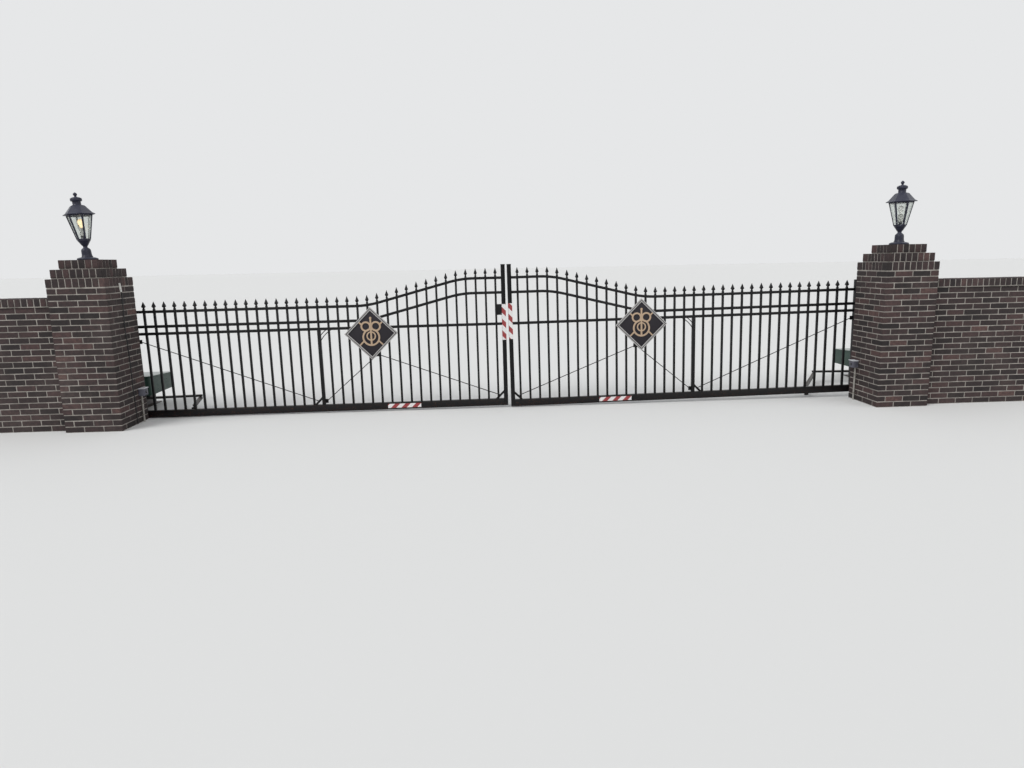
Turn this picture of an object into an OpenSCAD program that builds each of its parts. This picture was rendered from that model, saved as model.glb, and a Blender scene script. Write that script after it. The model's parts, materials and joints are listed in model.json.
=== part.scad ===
// Double swing driveway gate of wrought iron between two brick piers,
// with lanterns, short wing walls and one articulated arm operator a leaf.
// Everything on the right is measured from the middle of the opening; the left is its
// mirror image, apart from the lamp cable, the lock box and the sizes named for one side.

/* [Opening] */
// Clear width between the piers
opening_w = 8786; // [8500:10:9000]
// Gate plane behind the rear faces of the piers
gate_back = 45; // [40:1:60]
// Hinge axis beyond the pier's inner face
hinge_out = 113; // [108:1:125]
// Line where the leaves meet, right of the middle of the opening
meet_shift = 28; // [-30:2:30]

/* [Piers] */
// Side of the square pier, three brick lengths
pier_w = 630; // [600:5:680]
// Height of one brick course with its joint
course_h = 67.2; // [60:0.1:75]
// Courses in the shaft
pier_courses = 24; // [20:1:26]
// Height of one course of bricks on edge in the cap
cap_course_h = 101.6; // [90:0.1:110]
// Set-in of the cap's middle course
cap_mid_in = 40; // [20:1:60]
// Set-in of the cap's top course
cap_top_in = 105; // [80:1:130]

/* [Wing walls] */
// Length of each wing wall
wall_len = 1500; // [1000:10:2500]
// Thickness of the wing wall
wall_t = 305; // [200:5:400]
// Courses under the coping
wall_courses = 21; // [16:1:22]
// Wall face behind the pier face
wall_set = 100; // [60:5:140]
// Height of the coping
coping_h = 92; // [60:1:110]
// Overhang of the coping
coping_out = 18; // [10:1:30]

/* [Gate frame] */
// Side of the square stiles
stile_w = 50; // [40:1:60]
// Hinge axis to the hinge stile's face
hinge_reach = 33; // [33:0.5:36]
// Gap between the two meeting stiles
meet_gap = 40; // [30:1:60]
// Top of the hinge stile
hinge_stile_top = 1440; // [1400:5:1500]
// Top of the meeting stile
meet_stile_top = 1772; // [1700:1:1850]
// Thickness of the flat cap on a stile
stile_cap_t = 6; // [3:1:10]
// Gap under the right leaf, at its meeting stile
right_ground_gap = 12; // [8:1:45]
// Gap under the left leaf, at its meeting stile
left_ground_gap = 30; // [26:1:45]
// Height of the bottom rail
bottom_rail_h = 85; // [70:1:110]
// Height of the three upper rails
rail_h = 32; // [25:1:40]
// Depth of the three upper rails
rail_d = 38; // [32:1:48]
// Middle of the straight rail
mid_rail_z = 1055; // [1000:5:1090]
// Middle of the top rail beside the pier
top_rail_z = 1320; // [1280:5:1350]
// Rise of the top rail towards the meeting stile
top_rise = 296; // [200:2:330]
// Fall from the top rail to the second rail
second_drop = 178; // [160:1:200]
// Middle of the S curve, from the line where the leaves meet
curve_mid = 1130; // [1000:5:1300]
// Radius of both bends of the S curve
curve_r = 1200; // [800:10:1500]
// Slope between the bends, in degrees
curve_a = 14.5; // [12:0.5:20]
// Rise of the right leaf towards its hinges, in degrees
right_hang = 0.8; // [-0.3:0.1:1]
// Rise of the left leaf towards its hinges, in degrees
left_hang = -0.3; // [-0.3:0.1:1]
// Underside of the lock box on the left leaf
lock_z = 1165; // [1120:5:1200]
// Height of the lock box
lock_h = 130; // [80:5:150]

/* [Pickets] */
// Side of the square pickets
picket_w = 25; // [19:1:28]
// Pickets on the right leaf
right_count = 35; // [32:1:37]
// Pickets on the left leaf
left_count = 36; // [32:1:37]
// First picket of the right leaf from the line where the leaves meet
right_first = 144; // [120:1:160]
// First picket of the left leaf from the line where the leaves meet
left_first = 139; // [120:1:160]
// Last picket of each leaf inside the pier's face
last_in = 71; // [60:1:80]
// Clearance of a picket in its punched hole
punch_fit = 0.3; // [0.2:0.1:1]
// Picket that stands on the middle post, counted from the meeting stile
post_index = 19; // [18:1:20]
// Side of the square middle post
post_w = 40; // [34:1:46]
// Finial tip above the middle of the top rail
tip_rise = 125; // [110:1:140]
// Widest part of the finial
finial_w = 40; // [32:1:46]

/* [Braces] */
// Diameter of the brace rods
rod_d = 10; // [8:0.5:10]
// Thickness of the corner ties
tie_t = 12; // [12:1:14]
// Leg of a corner tie
tie_leg = 100; // [80:1:120]
// Width of a corner tie along the leg
tie_w = 36; // [24:1:50]
// Height of the apex of the long brace rods
apex_z = 720; // [650:5:800]
// Height of the pier brace rod at the hinge stile
rod_high_z = 960; // [900:1:980]
// Reach of the curved bracket's outer bar
scroll_reach = 125; // [100:1:150]
// Reach of the curved bracket's inner bar
scroll_inner = 62; // [50:1:75]
// Thickness of the curved bracket's bars
scroll_t = 10; // [8:1:14]

/* [Diamond] */
// Middle of the diamond from the line where the leaves meet
diamond_x = 1672; // [1600:1:1740]
// Middle of the diamond above the drive
diamond_z = 983; // [970:1:1030]
// Side of the diamond
diamond_side = 457; // [430:1:470]
// Face width of the diamond's frame
diamond_bar = 30; // [22:1:40]
// Depth of the diamond's frame
diamond_d = 22; // [16:1:30]
// Thickness of the diamond's plate
diamond_plate_t = 6; // [3:1:8]
// Outer diameter of the ornament's large ring
ornament_d = 215; // [190:1:220]
// Outer diameter of its two small rings
ornament_small_d = 125; // [110:1:130]
// Width of its bars
ornament_bar = 21; // [16:1:24]
// Thickness of the ornament
ornament_t = 9; // [6:1:12]

/* [Hinges] */
// Diameter of the hinge pins
hinge_pin_d = 22; // [18:1:26]
// Radial clearance of a pin in its barrel
pin_fit = 0.1; // [0.05:0.01:0.15]
// Outer diameter of the hinge barrel
barrel_d = 40; // [36:1:42]
// Height of the hinge barrel
barrel_h = 60; // [50:1:80]
// Underside of the lower barrel
barrel_low_z = 190; // [150:5:300]
// Underside of the upper barrel
barrel_high_z = 1190; // [1100:5:1250]
// Thickness of the hinge plates
hinge_plate_t = 10; // [8:1:14]

/* [Operators] */
// Height of the operator's cover above the drive
cover_z = 205; // [200:5:240]
// Height of the cover at its front
cover_h = 230; // [200:1:280]
// Fall of the cover's top towards its back
cover_fall = 45; // [20:1:60]
// Thickness of the cover's lid
lid_t = 20; // [12:1:25]
// Width of the cover across the drive
cover_w = 400; // [360:5:450]
// Length of the cover along the drive
cover_l = 690; // [640:5:720]
// Overhang of the cover's lid
lid_out = 8; // [4:1:15]
// Gap between the open right leaf and its operator's cover
right_cover_gap = 499; // [440:1:520]
// Gap between the open left leaf and its operator's cover
left_cover_gap = 16; // [15:1:60]
// Front of the right cover behind the gate plane
right_cover_back = 890; // [860:1:900]
// Front of the left cover behind the gate plane
left_cover_back = 400; // [390:1:420]
// Shaft from the cover's inner and front faces
shaft_in = 70; // [62:1:85]
// Gate pin along the leaf from the hinge axis
reach_x = 630; // [600:5:650]
// Gate pin behind the leaf
reach_y = 70; // [66:1:90]
// Height of the link's underside
link_z = 118; // [112:1:124]
// Thickness of the link
link_t = 24; // [18:1:26]
// Width of the link
link_w = 45; // [36:1:50]
// Gap between crank and link
arm_gap = 8; // [6:1:12]
// Thickness of the crank
crank_t = 25; // [20:1:30]
// Width of the crank
crank_w = 55; // [46:1:60]
// Diameter of the output shaft
shaft_d = 35; // [30:1:40]
// Diameter of the arm pins
arm_pin_d = 20; // [16:1:22]
// Radial clearance of the link's open pivot
open_fit = 0.5; // [0.3:0.1:1]

/* [Sensors] */
// Side of the sensor box along the pier
sensor_w = 100; // [90:1:120]
// Depth of the sensor box
sensor_d = 68; // [60:1:80]
// Height of the sensor box under its hood
sensor_h = 82; // [70:1:110]
// Underside of the right sensor box
right_sensor_z = 415; // [300:5:450]
// Underside of the left sensor box
left_sensor_z = 320; // [300:5:450]
// Middle of the sensor box ahead of the pier's rear face
sensor_back = 135; // [75:5:200]
// Overhang of the sensor's hood
hood_out = 7; // [4:1:12]
// Diameter of the conduit
conduit_d = 21; // [16:1:27]

/* [Lanterns] */
// Corner radius of the lantern's eave
eave_r = 165; // [150:1:190]
// Corner radius of the cage at its top
cage_top_r = 131; // [124:1:140]
// Corner radius of the cage at its bottom
cage_low_r = 66; // [62:1:75]
// Underside of the cage above the pier
cage_z = 220; // [212:1:240]
// Height of the cage
cage_h = 273; // [250:1:290]
// Width of the corner bars
cage_bar = 18; // [14:1:22]
// Turn of the right lantern on its pier, in degrees
right_turn = 30; // [0:1:60]
// Turn of the left lantern on its pier, in degrees
left_turn = -11; // [-60:1:0]
// Lean of the right lantern away from the drive, in degrees
right_lean = -1; // [-3:0.5:6]
// Lean of the left lantern away from the drive, in degrees
left_lean = 4; // [-3:0.5:6]
// Thickness of the glass
glass_t = 4; // [3:1:6]

/* [Hidden] */
$fn = 48;
e = 1;
seat = 0.3;
half = opening_w / 2;
shaft_h = pier_courses * course_h;
pier_h = shaft_h + 3 * cap_course_h;
gate_y = pier_w + gate_back;
hinge_x = half + hinge_out;
hinge_stile_x = hinge_x - hinge_reach - stile_w / 2;
meet_x = (meet_gap + stile_w) / 2;
rail_in = meet_x + stile_w / 2;
mid_under = mid_rail_z - rail_h / 2;
top_high_z = top_rail_z + top_rise;
bend_h = curve_r * (1 - cos(curve_a));
slope_l = (top_rise - 2 * bend_h) / sin(curve_a);
curve_half = curve_r * sin(curve_a) + slope_l / 2 * cos(curve_a);
high_end = curve_mid - curve_half;
low_end = curve_mid + curve_half;
rod_y = picket_w / 2 + seat + tie_t / 2;
pin_x = hinge_x - reach_x;
pin_y = gate_y + reach_y;
crank_z = link_z + link_t + arm_gap;
back_y = gate_y + max(right_cover_back, left_cover_back) + cover_l;
y_mid = (back_y + lid_out) / 2;
sensor_y = pier_w - sensor_back;

// The leaves: s is 1 on the right and -1 on the left; x runs from the line where they meet
function hang(s) = s > 0 ? right_hang : left_hang;
function ground_gap(s) = s > 0 ? right_ground_gap : left_ground_gap;
function bottom_top(s) = ground_gap(s) + bottom_rail_h;
function count(s) = s > 0 ? right_count : left_count;
function first(s) = s > 0 ? right_first : left_first;
function stile_x(s) = hinge_stile_x - s * meet_shift;
function rail_out(s) = stile_x(s) - stile_w / 2;
function last(s) = half - last_in - s * meet_shift;
function picket_x(s, k) = first(s) + (k - 1) * (last(s) - first(s)) / (count(s) - 1);

// The operators' places: the elbow is as far from the shaft as the leaf's pin from the hinge
function cover_x(s) = hinge_x + stile_w / 2 + (s > 0 ? right_cover_gap : left_cover_gap);
function cover_y(s) = gate_y + (s > 0 ? right_cover_back : left_cover_back);
function shaft(s) = [cover_x(s) + shaft_in, cover_y(s) + shaft_in];
function elbow(s) = shaft(s) + [-reach_x, reach_y];

// Height of the top rail's middle line
function rail_z(x) =
  x <= high_end ? top_high_z :
  x >= low_end ? top_rail_z :
  x < high_end + curve_r * sin(curve_a) ?
    top_high_z - curve_r + sqrt(pow(curve_r, 2) - pow(x - high_end, 2)) :
  x > low_end - curve_r * sin(curve_a) ?
    top_rail_z + curve_r - sqrt(pow(curve_r, 2) - pow(low_end - x, 2)) :
  top_rail_z + top_rise / 2 - (x - curve_mid) * tan(curve_a);

// Everything is drawn from the pier's front face, then centred; a leaf hangs from its hinges
// at a small angle, turned about the foot of its meeting stile
module at_right() { translate([0, -y_mid, 0]) children(); }
module at_left() { mirror([1, 0, 0]) at_right() children(); }
module on_leaf(s) {
  translate([s * meet_shift + meet_x, gate_y, ground_gap(s)]) rotate([0, -hang(s), 0])
    translate([-meet_x, 0, -ground_gap(s)]) children();
}
module upright(d) { rotate([90, 0, 0]) linear_extrude(d, center = true) children(); }

// Masonry
module pier() { translate([half, 0, 0]) cube([pier_w, pier_w, shaft_h]); }
module cap_course(n, in) {
  w = pier_w - 2 * in;
  translate([half + in, in, shaft_h + n * cap_course_h]) cube([w, w, cap_course_h]);
}
module pier_cap() {
  cap_course(0, 0);
  cap_course(1, cap_mid_in);
  cap_course(2, cap_top_in);
}
wall_h = wall_courses * course_h;
module wing_wall() {
  translate([half + pier_w, wall_set, 0]) cube([wall_len, wall_t, wall_h]);
}
module wall_coping() {
  translate([half + pier_w, wall_set - coping_out, wall_h])
    cube([wall_len, wall_t + 2 * coping_out, coping_h]);
}

// Lantern, from the pier's top up: its foot lies flat and the rest leans
eave_h = 8;
flare_h = 14;
roof_h = 104;
flare_r = 138;
shoulder_h = 97;
shoulder_r = 76;
ring_h = 12;
ring_w = 22;
bar_t = 8;
foot_profile = [[0, 0], [106, 0], [106, 13], [99, 20], [74, 28], [0, 28]];
stem_profile = [[0, 14], [58, 14], [58, 34], [52, 46], [50, 60], [49, 98], [46, 113], [38, 124],
  [26, 133], [22, 140], [22, 146], [25, 153], [36, 167], [54, 198], [63, 208],
  [65, cage_z], [0, cage_z]];
module on_pier() { translate([half + pier_w / 2, pier_w / 2, pier_h]) children(); }
module lamp(s) {
  on_pier() rotate([0, s > 0 ? right_lean : left_lean, 0])
    rotate(s > 0 ? right_turn : left_turn) children();
}
module hexagon_cone(h, r1, r2) { cylinder(h, r1, r2, $fn = 6); }
module cage_ring(z, r) {
  translate([0, 0, z]) difference() {
    cylinder(ring_h, r = r + bar_t - 2, $fn = 6);
    translate([0, 0, -e]) cylinder(ring_h + 2 * e, r = r + bar_t - 2 - ring_w, $fn = 6);
  }
}
cage_lean = atan((cage_top_r - cage_low_r) / cage_h);
module lantern_cage(s) {
  on_pier() rotate_extrude() polygon(foot_profile);
  lamp(s) {
    rotate_extrude() polygon(stem_profile);
    cage_ring(cage_z, cage_low_r);
    cage_ring(cage_z + cage_h - ring_h, cage_top_r - 3);
    for (k = [0:5]) rotate([0, 0, 60 * k]) translate([cage_low_r, 0, cage_z + 2])
      rotate([0, cage_lean, 0]) translate([-bar_t / 2, -cage_bar / 2, 0])
        cube([bar_t, cage_bar, (cage_h - 5) / cos(cage_lean)]);
  }
}
module lantern_glass(s) {
  pane_in = bar_t / 2 + 1;
  z0 = cage_z + ring_h + seat;
  h = cage_h - 2 * (ring_h + seat);
  k = (cage_top_r - cage_low_r) / cage_h;
  r0 = cage_low_r + k * ring_h - pane_in;
  r1 = cage_top_r - k * ring_h - pane_in;
  lamp(s) translate([0, 0, z0]) difference() {
    hexagon_cone(h, r0, r1);
    translate([0, 0, -e]) hexagon_cone(h + 2 * e, r0 - glass_t - k * e, r1 - glass_t + k * e);
  }
}
// The roof's flat top carries a round neck, a cap and a knob
module lantern_roof(s) {
  side_h = shoulder_h - eave_h - flare_h;
  lamp(s) translate([0, 0, cage_z + cage_h]) {
    cylinder(eave_h, r = eave_r, $fn = 6);
    translate([0, 0, eave_h]) hexagon_cone(flare_h, eave_r - 3, flare_r);
    translate([0, 0, eave_h + flare_h]) hexagon_cone(side_h, flare_r, shoulder_r);
    translate([0, 0, shoulder_h]) hexagon_cone(roof_h - shoulder_h, shoulder_r, 62);
    rotate_extrude() polygon([[0, roof_h - e], [46, roof_h - e], [46, roof_h + 3], [42, roof_h + 7],
      [42, 144], [53, 149], [58, 154], [58, 174], [54, 181], [36, 190], [16, 196], [11, 201],
      [11, 206], [18, 212], [21, 222], [18, 232], [8, 241], [0, 246]]);
  }
}
// A lamp holder with a pale sleeve and a globe
module lantern_bulb(s) {
  lamp(s) translate([0, 0, cage_z]) rotate_extrude()
    polygon([[0, 0], [27, 0], [27, 9], [20, 14], [20, 44], [28, 48], [28, 126], [23, 132], [16, 137],
      [16, 149], [24, 163], [31, 181], [32, 194], [29, 210], [19, 224], [0, 233]]);
}

// Hinges: a plate on the pier's rear face, a lug and an upright pin
plate_w = 150;
plate_h = 110;
plate_side = barrel_d / 2;
module hinge_bracket(z) {
  lug_t = 14;
  lug_y = gate_back - hinge_plate_t + e;
  translate([hinge_x - plate_side, pier_w, z - plate_h / 2])
    cube([plate_w, hinge_plate_t, plate_h]);
  translate([hinge_x, gate_y, z - lug_t - e]) {
    cylinder(lug_t, d = barrel_d);
    translate([-barrel_d / 2, -lug_y, 0]) cube([barrel_d, lug_y, lug_t]);
    cylinder(lug_t + e + barrel_h + 8, d = hinge_pin_d);
  }
}
module hinge_brackets() {
  hinge_bracket(barrel_low_z);
  hinge_bracket(barrel_high_z);
}
module hinge_barrel(z) {
  difference() {
    union() {
      translate([hinge_x, 0, z]) cylinder(barrel_h, d = barrel_d);
      translate([hinge_stile_x, -6, z + 5]) cube([hinge_x - hinge_stile_x, 12, barrel_h - 10]);
    }
    translate([hinge_x, 0, z - e]) cylinder(barrel_h + 2 * e, d = hinge_pin_d + 2 * pin_fit);
  }
}

// Leaf
module capped_stile(s, x, top, caps) {
  cap = stile_w + 6;
  translate([x - stile_w / 2, -stile_w / 2, ground_gap(s)])
    cube([stile_w, stile_w, top - ground_gap(s)]);
  if (caps) translate([x - cap / 2, -cap / 2, top]) cube([cap, cap, stile_cap_t]);
}
module hinge_stile(s) {
  on_leaf(s) capped_stile(s, stile_x(s), hinge_stile_top, false);
  translate([0, gate_y, 0]) {
    hinge_barrel(barrel_low_z);
    hinge_barrel(barrel_high_z);
  }
}
module meeting_stile(s) { on_leaf(s) capped_stile(s, meet_x, meet_stile_top, true); }
// The lug that carries the arm's pin stays level while the rail hangs at its angle
module bottom_rail(s) {
  lug_t = 12;
  lug_w = 52;
  lug_z = link_z - 8 - lug_t;
  lug_low = ground_gap(s) + 20;
  on_leaf(s) translate([rail_in, -stile_w / 2, ground_gap(s)])
    cube([rail_out(s) - rail_in, stile_w, bottom_rail_h]);
  translate([pin_x, gate_y, 0]) {
    translate([-lug_w / 2, stile_w / 2 - e, lug_low])
      cube([lug_w, lug_t + e, lug_z + lug_t - lug_low]);
    translate([-lug_w / 2, stile_w / 2 - e, lug_z]) cube([lug_w, reach_y - stile_w / 2 + e, lug_t]);
    translate([0, reach_y, lug_z]) {
      cylinder(lug_t, d = lug_w);
      cylinder(link_z + link_t + 12 - lug_z, d = arm_pin_d);
      translate([0, 0, link_z + link_t + 6 - lug_z]) cylinder(7, d = arm_pin_d + 12);
    }
  }
}
module lock_box() {
  color(iron) at_left() on_leaf(-1) translate([rail_in, -stile_w / 2, lock_z])
    cube([left_first - picket_w / 2 - seat - rail_in, stile_w, lock_h]);
}
// Half planes of the S curve's bends, from the bend's centre
module bend(up) {
  reach = 2 * curve_r;
  intersection() {
    difference() {
      circle(curve_r + rail_h / 2, $fn = 200);
      circle(curve_r - rail_h / 2, $fn = 200);
    }
    polygon(up ? [[0, 0], [0, -reach], [-reach * tan(curve_a), -reach]]
      : [[0, 0], [0, reach], [reach * tan(curve_a), reach]]);
  }
}
module curved_rail(s) {
  translate([rail_in, top_high_z - rail_h / 2]) square([high_end - rail_in, rail_h]);
  translate([high_end, top_high_z - curve_r]) bend(false);
  translate([curve_mid, top_rail_z + top_rise / 2]) rotate(-curve_a)
    square([slope_l + 2 * e, rail_h], center = true);
  translate([low_end, top_rail_z + curve_r]) bend(true);
  translate([low_end, top_rail_z - rail_h / 2]) square([rail_out(s) - low_end, rail_h]);
}
module upper_rails(s) {
  hole = picket_w + 2 * punch_fit;
  on_leaf(s) difference() {
    upright(rail_d) {
      curved_rail(s);
      translate([0, -second_drop]) curved_rail(s);
      translate([rail_in, mid_under]) square([rail_out(s) - rail_in, rail_h]);
    }
    for (k = [1:count(s)]) translate([picket_x(s, k), 0, mid_under - e])
      linear_extrude(top_high_z + rail_h - mid_under) square(hole, center = true);
  }
}
module middle_post(s) {
  corner = picket_x(s, post_index) - post_w / 2;
  bow = 300;
  r = norm([bow, bow - scroll_reach]);
  r2 = norm([bow, bow - scroll_inner]);
  scroll_d = (post_w - picket_w) / 2 - seat;
  on_leaf(s) {
    translate([corner, -post_w / 2, bottom_top(s)])
      cube([post_w, post_w, mid_under - bottom_top(s)]);
    translate([corner, (scroll_d - post_w) / 2, mid_under]) upright(scroll_d) intersection() {
      translate([-bow, -bow]) for (q = [r, r2]) difference() {
        circle(q + scroll_t / 2, $fn = 120);
        circle(q - scroll_t / 2, $fn = 120);
      }
      translate([-bow, -bow]) square(bow);
    }
  }
}
module finial(x) {
  base = rail_z(x) + rail_h / 2 + 6;
  tip = tip_rise - rail_h / 2 - 6;
  a = finial_w / 2;
  n = picket_w / 2;
  outline = [[-n, 0], [-n, 10], [-n + 5, 20], [-a, 40], [-a + 6, 58], [0, tip],
    [a - 6, 58], [a, 40], [n - 5, 20], [n, 10], [n, 0]];
  translate([x, 0, base]) intersection() {
    rotate([90, 0, 0]) linear_extrude(finial_w, center = true) polygon(outline);
    rotate([90, 0, 90]) linear_extrude(finial_w, center = true) polygon(outline);
  }
}
module pickets(s) {
  on_leaf(s) for (k = [1:count(s)]) {
    x = picket_x(s, k);
    z = k == post_index ? mid_under : bottom_top(s);
    translate([x - picket_w / 2, -picket_w / 2, z])
      cube([picket_w, picket_w, rail_z(x) + rail_h / 2 + 6 - z]);
    finial(x);
  }
}
// A rod between two points of the leaf's plane
module rod(x1, z1, x2, z2) {
  translate([x1, rod_y, z1]) rotate([0, atan2(x2 - x1, z2 - z1), 0])
    cylinder(norm([x2 - x1, z2 - z1]), d = rod_d);
}
// A flat tie across the corner over the bottom rail, outwards from x
module corner_tie(s, x) {
  translate([x, picket_w / 2 + seat + tie_t / 2, bottom_top(s)]) upright(tie_t)
    polygon([[0, tie_leg], [0, tie_leg - tie_w], [tie_leg - tie_w, 0], [tie_leg, 0]]);
}
module lug_plate(x, z, w, h) {
  translate([x, picket_w / 2 + seat, z - h / 2]) cube([w, tie_t, h]);
}
module braces(s) {
  post_in = picket_x(s, post_index) - post_w / 2;
  post_out = post_in + post_w;
  mid_tie = tie_leg / 2 - 9;
  tie_z = bottom_top(s) + mid_tie;
  on_leaf(s) {
    corner_tie(s, rail_in);
    rod(rail_in + mid_tie, tie_z, diamond_x - 60, apex_z);
    lug_plate(diamond_x - 90, apex_z, 60, 50);
    rod(diamond_x - 60, apex_z, post_in - 15, tie_z);
    lug_plate(post_in - 30, tie_z, 30, 50);
    corner_tie(s, post_out);
    rod(post_out + mid_tie, tie_z, rail_out(s) - 15, rod_high_z);
    lug_plate(rail_out(s) - 30, rod_high_z, 30, 50);
  }
}

// Diamond on the front of the rails
module on_diamond(s) {
  on_leaf(s) translate([diamond_x, -rail_d / 2, diamond_z]) children();
}
diamond_in = diamond_side - 2 * diamond_bar;
module diamond_outline(w) { rotate(45) square(w, center = true); }
module diamond_frame(s) {
  on_diamond(s) translate([0, -diamond_d / 2, 0]) upright(diamond_d) difference() {
    diamond_outline(diamond_side);
    diamond_outline(diamond_in);
  }
}
module diamond_plate(s) {
  on_diamond(s) translate([0, -diamond_plate_t / 2 - 5, 0]) upright(diamond_plate_t)
    diamond_outline(diamond_in);
}
module ring_flat(d, w) {
  difference() {
    circle(d = d, $fn = 96);
    circle(d = d - 2 * w, $fn = 96);
  }
}
// Two small rings over a large one on an upright bar, held by a bar to each side of the frame
module ornament(s) {
  ring_z = -44;
  small_z = 88;
  small_x = 60;
  spine_low = -134;
  spine_high = 190;
  reach = diamond_in / 2;
  on_diamond(s) translate([0, -diamond_plate_t - 5 - ornament_t / 2, 0]) upright(ornament_t) {
    translate([0, ring_z]) ring_flat(ornament_d, ornament_bar);
    translate([0, ring_z + 14]) ring_flat(ornament_small_d - 9, ornament_bar - 5);
    for (k = [-1, 1]) translate([k * small_x, small_z]) ring_flat(ornament_small_d, ornament_bar);
    translate([-ornament_bar / 2, spine_low]) square([ornament_bar, spine_high - spine_low]);
    translate([0, spine_high]) circle(d = ornament_bar + 8);
    for (a = [45, 135]) rotate(a) translate([150, -9]) square([reach - 150, 18]);
    for (a = [225, 315]) rotate(a) translate([118, -9]) square([reach - 118, 18]);
  }
}

// Operators behind the gate
module rounded(w, l, r) {
  translate([r, 0]) square([w - 2 * r, l]);
  translate([0, r]) square([w, l - 2 * r]);
  for (x = [r, w - r], y = [r, l - r]) translate([x, y]) circle(r);
}
module operator_stand(s) {
  stand_x = cover_x(s) + 230;
  translate([stand_x - 60, cover_y(s) + 40, 0]) cube([220, cover_l - 80, 12]);
  translate([stand_x, cover_y(s) + 60, 0]) cube([120, cover_l - 120, cover_z]);
}
// Extrudes an outline of [distance from the front, height] across the cover
module across(w) { rotate([90, 0, 90]) linear_extrude(w) children(); }
module operator_cover(s) {
  fall = cover_fall / cover_l;
  lid_w = cover_w + 2 * lid_out;
  front = cover_h + lid_out * fall;
  back = cover_h - (cover_l + lid_out) * fall;
  difference() {
    translate([cover_x(s), cover_y(s), cover_z]) {
      intersection() {
        linear_extrude(cover_h) rounded(cover_w, cover_l, 28);
        translate([-e, 0, 0]) across(cover_w + 2 * e)
          polygon([[-e, -e], [cover_l + e, -e], [cover_l + e, cover_h - cover_fall], [-e, cover_h]]);
      }
      intersection() {
        translate([-lid_out, -lid_out, 0])
          linear_extrude(cover_h + 2 * lid_t) rounded(lid_w, cover_l + 2 * lid_out, 34);
        translate([-lid_out - e, 0, 0]) across(lid_w + 2 * e)
          polygon([[-lid_out, front], [cover_l + lid_out, back], [cover_l + lid_out, back + lid_t],
            [-lid_out, front + lid_t]]);
      }
    }
    translate([shaft(s)[0], shaft(s)[1], cover_z - e])
      cylinder(66, d = shaft_d + 2 * pin_fit);
  }
}
module crank(s) {
  axle = shaft(s);
  tip = elbow(s);
  translate([0, 0, crank_z]) linear_extrude(crank_t) {
    translate(axle) circle(d = crank_w + 10);
    translate(tip) circle(d = crank_w);
    translate(axle) rotate(atan2(reach_y, -reach_x)) translate([0, -crank_w / 2])
      square([norm([reach_x, reach_y]), crank_w]);
  }
  translate([axle[0], axle[1], crank_z]) {
    cylinder(cover_z + 60 - crank_z, d = shaft_d);
    cylinder(crank_t + 30, d = crank_w + 4);
  }
  translate([tip[0], tip[1], link_z - 12]) {
    cylinder(crank_z - link_z + 12 + e, d = arm_pin_d);
    cylinder(6, d = arm_pin_d + 12);
  }
}
module link(s) {
  tip = elbow(s);
  run = [pin_x, pin_y] - tip;
  translate([0, 0, link_z]) difference() {
    linear_extrude(link_t) {
      for (p = [tip, [pin_x, pin_y]]) translate(p) circle(d = link_w + 6);
      translate(tip) rotate(atan2(run[1], run[0])) translate([0, -link_w / 2])
        square([norm(run), link_w]);
    }
    translate([tip[0], tip[1], -e]) cylinder(link_t + 2 * e, d = arm_pin_d + 2 * pin_fit);
    translate([pin_x, pin_y, -e]) cylinder(link_t + 2 * e, d = arm_pin_d + 2 * open_fit);
  }
}

// Sensor boxes with their hoods and conduits on the piers' inner faces
module sensor(z) {
  hood_t = 9;
  translate([half - sensor_d, sensor_y - sensor_w / 2, z]) cube([sensor_d, sensor_w, sensor_h]);
  translate([half - sensor_d - hood_out, sensor_y - sensor_w / 2 - hood_out, z + sensor_h])
    cube([sensor_d + hood_out, sensor_w + 2 * hood_out, hood_t]);
  translate([half - seat - conduit_d / 2, sensor_y, 0]) cylinder(z + e, d = conduit_d);
}

// Cable on the left pier's inner face: [behind the front face, height]
cable_r = 5;
cable_sides = 8;
cable_points = [[349, 5], [341, 175], [327, 415], [328, 710], [319, 968], [303, 1180],
  [324, 1427], [322, 1550], [312, 1600]];
cable_last = len(cable_points) - 1;
function cable_way(k) =
  let (d = cable_points[min(k + 1, cable_last)] - cable_points[max(k - 1, 0)]) d / norm(d);
cable_rings = [for (k = [0:cable_last], j = [0:cable_sides - 1])
  let (p = cable_points[k], t = cable_way(k), w = 360 * j / cable_sides)
  [cable_r * cos(w), p[0] + cable_r * sin(w) * t[1], p[1] - cable_r * sin(w) * t[0]]];
cable_faces = concat(
  [[for (j = [cable_sides - 1:-1:0]) j]],
  [for (k = [0:cable_last - 1], j = [0:cable_sides - 1])
    let (a = k * cable_sides + j, b = k * cable_sides + (j + 1) % cable_sides)
    [a, b, b + cable_sides, a + cable_sides]],
  [[for (j = [0:cable_sides - 1]) cable_last * cable_sides + j]]);
module lamp_cable() {
  color(iron) translate([cable_r + seat - half, -y_mid, 0])
    polyhedron(cable_rings, cable_faces, convexity = 4);
}

brick = "#5b4a48";
iron = "#17181a";
module left_pier() { color(brick) at_left() pier(); }
module right_pier() { color(brick) at_right() pier(); }
module left_pier_cap() { color(brick) at_left() pier_cap(); }
module right_pier_cap() { color(brick) at_right() pier_cap(); }
module left_wing_wall() { color(brick) at_left() wing_wall(); }
module right_wing_wall() { color(brick) at_right() wing_wall(); }
module left_wall_coping() { color(brick) at_left() wall_coping(); }
module right_wall_coping() { color(brick) at_right() wall_coping(); }
module left_lantern_cage() { color(iron) at_left() lantern_cage(-1); }
module right_lantern_cage() { color(iron) at_right() lantern_cage(1); }
module left_lantern_glass() { color("#d8dcd6", 0.4) at_left() lantern_glass(-1); }
module right_lantern_glass() { color("#d8dcd6", 0.4) at_right() lantern_glass(1); }
module left_lantern_roof() { color(iron) at_left() lantern_roof(-1); }
module right_lantern_roof() { color(iron) at_right() lantern_roof(1); }
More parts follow.
